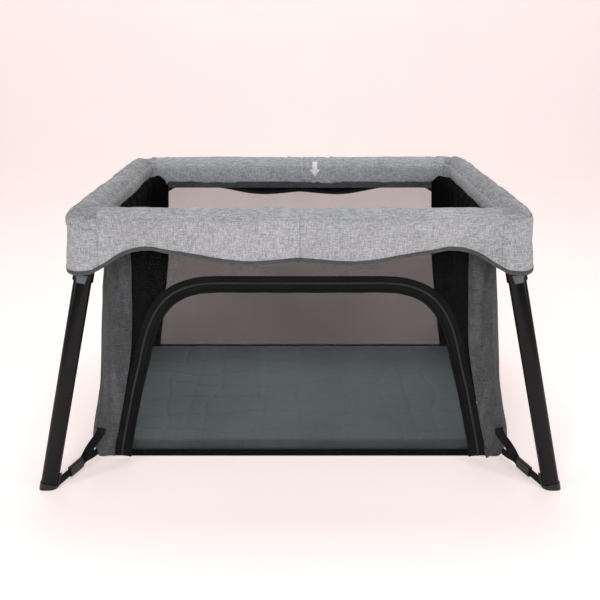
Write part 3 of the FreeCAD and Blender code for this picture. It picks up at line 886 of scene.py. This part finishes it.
def band(name, inset_low, inset_high, y_front, thickness, look, ruffle=0.0):
    """A flat tape that follows the arch between two insets."""
    low_line, high_line = arch_line(inset_low), arch_line(inset_high)
    rows = []
    for i, ((ax, az), (bx, bz)) in enumerate(zip(low_line, high_line)):
        wave = ruffle * (sin(i * 0.9) + 0.6 * sin(i * 2.3 + 1)) * MM
        row = []
        for t in (0, 0.33, 0.67, 1):
            x, z = ax + (bx - ax) * t, az + (bz - az) * t
            push = wave * t + 0.6 * MM * sin(pi * t)
            row.append(Vector((x, y_front - push, z)))
        rows.append(row)
    return cloth_grid(name, turned(rows, 3, 1, Vector((0, -1, 0))), thickness, [look])


def zip_coil(name, inset, y_front):
    """The zip's teeth: a small bar across the tapes at each step of the arch."""
    line = [Vector((x, y_front, z)) for x, z in arch_line(inset)]
    points, faces = [], []
    carried = 0.0
    for a, b in zip(line, line[1:]):
        length = (b - a).length
        if length < 1e-6:
            continue
        along = (b - a) / length
        across = Vector((along.z, 0, -along.x))
        while carried < length:
            centre = a + along * carried
            start = len(points)
            for u, v, w in TOOTH_CORNERS:
                out = Vector((0, -w * 1.5, 0))
                points.append(centre + (along * (u * 0.9) + across * (v * 2.6) + out) * MM)
            faces += [tuple(start + k for k in face) for face in TOOTH_FACES]
            carried += ZIP_PITCH
        carried -= length
    return new_piece(name, points, faces, ["zip_coil"], smooth=False)


def net(name, outlines, y, look, body, replaced):
    piece = flat_region(name, outlines, y, NET_THICKNESS, look)
    bag_ride(piece, body)
    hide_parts(replaced)
    return piece


def make_bag():
    panels = [corner_panel(side, end) for side in SIDES for end in ENDS]
    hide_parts("corner_panels")
    front_y = -WALL_Y
    heights = spread(BAG_FOOT, BAG_TOP, 20 * MM)
    outline = mirrored([(bag_value(MESH_X, z), z) for z in heights])
    back_outline = mirrored([(back_mesh_x(z), z) for z in heights])
    hole, door_outline = arch_line(2 * MM), arch_line(DOOR_INSET)
    front = net("mesh_front", [outline, list(reversed(hole))], front_y, "net", "left_end", "wall_front")
    door = net("door_mesh", [door_outline], front_y, "net", "door", "door_panel")
    back = net("mesh_back", [back_outline], WALL_Y, "back_net", "left_end", "wall_back")
    width, height = 2 * bag_value(MESH_X, BAG_FOOT), BAG_TOP - BAG_FOOT
    walls = [side_wall(side) for side in SIDES]
    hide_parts("side_walls")
    tape_y, binding_y = front_y - 0.8 * MM, front_y - 1.8 * MM
    parts = [
        band("zip_tape_outer", 0, 16 * MM, tape_y, TAPE_THICKNESS, "zip_tape"),
        band("zip_guard", 16.4 * MM, 33 * MM, tape_y, TAPE_THICKNESS, "zip_tape"),
        band("door_binding", 31.5 * MM, 38.5 * MM, binding_y, 2.2 * MM, "piping", 0.9),
        zip_coil("zip_teeth", 16.2 * MM, front_y - 1.2 * MM),
    ]
    for part, body in zip(parts, ["left_end", "door", "door", "left_end"]):
        bag_ride(part, body)


# ---- mattress
def simulate_pad(size):
    """Foam swelled by Blender's cloth solver, with each point held within a limit of where it began."""
    bpy.ops.mesh.primitive_cube_add(size=1, location=(0, 0, 0))
    pad = bpy.context.object
    pad.scale = size
    bpy.ops.object.transform_apply(location=False, rotation=False, scale=True)
    bevel = pad.modifiers.new("round", "BEVEL")
    bevel.width = PAD_BEVEL
    bevel.segments = 3
    bpy.ops.object.modifier_apply(modifier=bevel.name)
    remesh = pad.modifiers.new("voxels", "REMESH")
    remesh.mode = "VOXEL"
    remesh.voxel_size = PAD_VOXEL
    bpy.ops.object.modifier_apply(modifier=remesh.name)
    start = [vertex.co.copy() for vertex in pad.data.vertices]
    cloth = pad.modifiers.new("swell", "CLOTH")
    cloth.settings.use_pressure = True
    cloth.settings.uniform_pressure_force = 4
    cloth.settings.effector_weights.gravity = 0
    scene = bpy.context.scene
    for step in range(1, PAD_STEPS + 1):
        scene.frame_set(step)
    bpy.ops.object.modifier_apply(modifier=cloth.name)
    scene.frame_set(1)
    for vertex, before in zip(pad.data.vertices, start):
        move = vertex.co - before
        if move.length > PAD_SWELL:
            vertex.co = before + move * (PAD_SWELL / move.length)
    finer = pad.modifiers.new("finer", "SUBSURF")
    finer.levels = 1
    bpy.ops.object.modifier_apply(modifier=finer.name)
    return pad


def quilt_depth(x, y):
    """Wavy sewn lines across the mattress, as a depth below the surface."""
    total = 0.0
    for k in range(-6, 7):
        line = y - k * 78 * MM - 13 * MM * sin(x * 13 + k * 1.9) - 7 * MM * sin(x * 31 + k)
        total += hump(line, 0, QUILT_WIDTH)
    for k in range(-8, 9):
        line = x - k * 118 * MM - 15 * MM * sin(y * 15 + k * 2.7) - 6 * MM * sin(y * 37 - k)
        total += hump(line, 0, QUILT_WIDTH)
    return min(total, 1.0)


def make_mattress():
    """One swollen pad in a quilted cover, with shallow folds between its panels and piping on two edges."""
    size = MATTRESS_HIGH - MATTRESS_LOW
    width = size.x / PANELS
    pad = simulate_pad(size - Vector((8, 10, 8)) * MM)
    seed_points = [vertex.co.copy() for vertex in pad.data.vertices]
    faces = [tuple(face.vertices) for face in pad.data.polygons]
    bpy.data.objects.remove(pad, do_unlink=True)
    low_z = min(point.z for point in seed_points)
    centre = (MATTRESS_LOW + MATTRESS_HIGH) / 2
    points = []
    for p in seed_points:
        place = Vector((centre.x + p.x, centre.y + p.y, MATTRESS_LOW.z + p.z - low_z))
        if p.z > 0:
            across = ((place.x - MATTRESS_LOW.x) / width + 0.5) % 1 - 0.5
            inside = 0.5 * width < place.x - MATTRESS_LOW.x < size.x - 0.5 * width
            fold = hump(across * width, 0, PANEL_FOLD_WIDTH) if inside else 0.0
            place.z -= QUILT_DEPTH * quilt_depth(place.x, place.y) + PANEL_FOLD_DEPTH * fold
            place.z -= 1.8 * MM * noise.noise(place * 12)
        place.x = min(max(place.x, MATTRESS_LOW.x), MATTRESS_HIGH.x)
        place.y = min(max(place.y, MATTRESS_LOW.y), MATTRESS_HIGH.y)
        points.append(place)
    mattress = new_piece("quilted_mattress", points, faces, ["mattress"])
    bag_ride(mattress, "mattress_body")
    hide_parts("mattress")
    for end, inset, height in [
        ("front", 2 * MM, MATTRESS_LOW.z + 3.5 * MM),
        ("back", 3 * MM, MATTRESS_HIGH.z - 6 * MM),
    ]:
        sy = ENDS[end]
        line = []
        for x in spread(MATTRESS_LOW.x + 8 * MM, MATTRESS_HIGH.x - 8 * MM, 6 * MM):
            y = sy * (MATTRESS_HIGH.y - inset)
            line.append(Vector((x, y, height + noise.noise(Vector((x * 9, sy, 0))) * MM)))
        piping = cord_tube(f"piping_{end}", line, PIPING_RADIUS, "piping")
        bag_ride(piping, "mattress_body")


def cord_tube(name, line, radius, look):
    rows = []
    for i, point in enumerate(line):
        along = (line[min(i + 1, len(line) - 1)] - line[max(i - 1, 0)]).normalized()
        side = along.cross(UP).normalized()
        over = side.cross(along)
        rows.append([point + side * (radius * cos(a)) + over * (radius * sin(a))
                     for a in angles(8)])
    return loop_grid(name, rows, [look])


def make_floor_panel():
    low, high = box_corners("floor_panel")
    rows = []
    for x in spread(low.x, high.x, 30 * MM):
        rows.append([Vector((x, y, high.z + 0.3 * MM * noise.noise(Vector((x * 8, y * 8, 0)))))
                     for y in spread(low.y, high.y, 30 * MM)])
    rows = turned(rows, 3, 3, UP)
    piece = cloth_grid("bag_floor", rows, 1.6 * MM, ["floor_cloth"])
    bag_ride(piece)
    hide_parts("floor_panel", "base_pads")


# ---- straps
def ribbon(name, line, width, thickness, hint, look="webbing"):
    """Flat webbing along a line of points; hint is the direction across it."""
    fine = curve(line)
    rows = []
    for i, point in enumerate(fine):
        along = (fine[min(i + 1, len(fine) - 1)] - fine[max(i - 1, 0)]).normalized()
        through = along.cross(hint).normalized()
        across = through.cross(along)
        across, through = across * width / 2, through * thickness / 2
        rows.append([point + across * a + through * b for a, b in STRAP_SECTION])
    return loop_grid(name, rows, [look])


def make_straps():
    for side, sx in SIDES.items():
        for end, sy in ENDS.items():
            name = f"{end}_{side}"
            along = Vector(JOINTS[f"buckle_{name}_release"]["axis"])
            meeting = middle(f"buckle_plug_{name}") - along * BUCKLE_BACK
            mirror = Vector((sx * MM, sy * MM, MM))
            patch, start, low_start = STRAP_PATCH * mirror, STRAP_START * mirror, STRAP_LOW * mirror
            knee = meeting - along * 16 * MM + UP * 6 * MM
            bulge = (start + knee) / 2 + Vector((sx, sy, 0)) * 2 * MM
            line = [patch, start, bulge, knee, meeting]
            upper = ribbon(f"strap_upper_{name}", line, 20 * MM, 1.8 * MM, Vector((sx * 0.5, 0, 1)))
            knee = meeting - along * 20 * MM - UP * MM
            line = [low_start, (low_start + knee) / 2 - UP * MM, knee, meeting]
            lower = ribbon(f"strap_lower_{name}", line, 19 * MM, 1.8 * MM, UP)
            for piece in (upper, lower):
                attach(piece, f"{side}_end")
            low, high = box_corners(f"leg_strap_{name}")
            centre, reach = (low + high) / 2, (high - low).xy.length / 2
            line = [centre - along * (reach + 3 * MM), centre, centre + along * (reach + 4 * MM)]
            tail = ribbon(f"strap_foot_{name}", line, 19.5 * MM, 2.2 * MM, UP)
            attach(tail, f"leg_{name}")
            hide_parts(f"leg_strap_{name}")
        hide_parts(f"bag_straps_{side}")


# ---- small pieces
def make_zip_slider():
    """Slider body with a folded pull hanging from it."""
    low, high = box_corners("zip_slider")
    centre = (low + high) / 2
    pull = [
        Vector((centre.x + 1 * MM, high.y - 3.5 * MM, high.z - 6 * MM)),
        Vector((centre.x + 2 * MM, low.y + 0.5 * MM, centre.z)),
        Vector((centre.x + 4 * MM, low.y, low.z - 3 * MM)),
    ]
    tab = ribbon("zip_pull", pull, 7 * MM, 1.6 * MM, Vector((1, 0, 0.2)), "zip_coil")
    line = [Vector((centre.x, high.y - 1.5 * MM, high.z - t * MM)) for t in (0, 3, 7, 11)]
    rows = []
    for point, wide in zip(line, (3.0, 5.2, 5.6, 3.6)):
        rows.append([point + Vector((wide * MM * cos(a), 2.6 * MM * sin(a), 0))
                     for a in angles(12)])
    body = loop_grid("zip_slider_body", rows, ["zip_coil"])
    for piece in (tab, body):
        bag_ride(piece, "slider")
    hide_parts("zip_slider")


def squarish(value):
    """A sine or cosine pushed outwards, for an oval with a flatter face."""
    return math.copysign(abs(value) ** LEG_SQUARENESS, value)


def make_leg_tubes():
    """Oval tubes whose curved face catches the light in narrow lines, and a grey insert in each hinge."""
    for side, sx in SIDES.items():
        for end, sy in ENDS.items():
            name = f"{end}_{side}"
            joint = JOINTS[f"leg_{name}_fold"]
            pivot, axis = Vector(joint["pos_m"]), Vector(joint["axis"]).normalized()
            along = FOOT * Vector((sx, sy, 1)) - pivot
            length = along.length
            along.normalize()
            outward = along.cross(axis)
            rows = []
            places = spread(LEG_START, length - LEG_CAP, 30 * MM)
            for place in [places[0], places[0] + MM] + places[1:-1] + [places[-1] - MM, places[-1]]:
                centre = pivot + along * place
                rows.append([
                    centre + axis * squarish(cos(a)) * LEG_HALF_WIDTH
                    + outward * squarish(sin(a)) * LEG_HALF_DEPTH
                    for a in angles(40)
                ])
            tube = loop_grid(f"leg_oval_{name}", rows, ["leg"])
            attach(tube, f"leg_{name}")
            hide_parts(f"leg_tube_{name}")
            facing = outward if outward.y * sy > 0 else -outward
            rows = []
            for place, half in INSERT_ROWS:
                centre = pivot + along * place * MM + facing * (LEG_HALF_DEPTH + 2.4 * MM)
                wide, deep = axis * half * MM, facing * 1.4 * MM
                rows.append([centre + wide * u + deep * v for u, v in INSERT_SECTION])
            insert = loop_grid(f"hinge_insert_{name}", rows, ["insert"])
            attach(insert, f"leg_{name}")


def make_labels():
    """Blank woven labels sewn under the inner edge of the end covers."""
    for side, y, width in LABELS:
        sx = SIDES[side]
        rows = []
        for t in spread(0, 1, 0.1):
            z = LABEL_Z + 22 * MM - LABEL_HEIGHT * t
            x = sx * (COVER_X - SLEEVE_RADIUS + 4 * MM + 2 * MM * sin(3 * t))
            rows.append([Vector((x, y + u * width * MM, z)) for u in (-0.5, -0.17, 0.17, 0.5)])
        rows = turned(rows, 3, 1, Vector((-sx, 0, 0)))
        piece = cloth_grid(f"label_{side}_{round(-y * 1000)}", rows, 0.6 * MM, ["label"])
        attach(piece, f"{side}_end")


# ---- stage
def make_stage():
    n = Nodes("pale_floor")
    colour = n.ramp(n.noise(3, 2, 0.5), [(0.3, (0.93, 0.835, 0.815)), (0.7, (0.95, 0.855, 0.835))])
    rough = n.span(n.noise(40), 0.75, 0.85)
    n.finish(colour, rough, Emission_Color=(1, 0.87, 0.85, 1), Emission_Strength=0.36)
    mesh = bpy.data.meshes.new("stage_floor")
    half, depth, rise, bend = 7.0, 4.5, 5.0, 1.5
    profile = [(-depth, 0.0), (depth - bend, 0.0)]
    profile += [(depth - bend + bend * sin(a), bend - bend * cos(a))
                for a in [pi / 2 * k / 16 for k in range(1, 17)]]
    profile.append((depth, rise))
    points = [(x, y, z - 0.0004) for y, z in profile for x in (-half, half)]
    faces = [(2 * i, 2 * i + 1, 2 * i + 3, 2 * i + 2) for i in range(len(profile) - 1)]
    mesh.from_pydata(points, [], faces)
    mesh.polygons.foreach_set("use_smooth", [True] * len(faces))
    mesh.materials.append(n.material)
    floor = bpy.data.objects.new("stage_floor", mesh)
    bpy.context.scene.collection.objects.link(floor)
    world = bpy.data.worlds.new("soft_world")
    world.use_nodes = True
    background = world.node_tree.nodes["Background"]
    background.inputs["Color"].default_value = (1.0, 0.955, 0.945, 1)
    background.inputs["Strength"].default_value = 0.28
    bpy.context.scene.world = world


def area_light(name, place, aim, size, power):
    light = bpy.data.lights.new(name, "AREA")
    light.shape = "RECTANGLE"
    light.size, light.size_y = size
    light.energy = power
    lamp = bpy.data.objects.new(name, light)
    lamp.location = place
    lamp.rotation_euler = (Vector(aim) - Vector(place)).to_track_quat("-Z", "Y").to_euler()
    bpy.context.scene.collection.objects.link(lamp)


def make_camera():
    camera = bpy.data.cameras.new("camera")
    camera.lens = CAMERA_LENS
    camera.sensor_width = 36
    view = bpy.data.objects.new("camera", camera)
    view.location = CAMERA_PLACE
    view.rotation_euler = (math.radians(90 - CAMERA_DOWN), 0, 0)
    bpy.context.scene.collection.objects.link(view)
    bpy.context.scene.camera = view


bpy.context.scene.view_settings.view_transform = "Standard"
make_camera()
make_stage()
for light in LIGHTS:
    area_light(*light)
dress_cad_nodes()
make_covers()
make_arrow()
make_bag()
make_mattress()
make_floor_panel()
make_straps()
make_zip_slider()
make_leg_tubes()
make_labels()
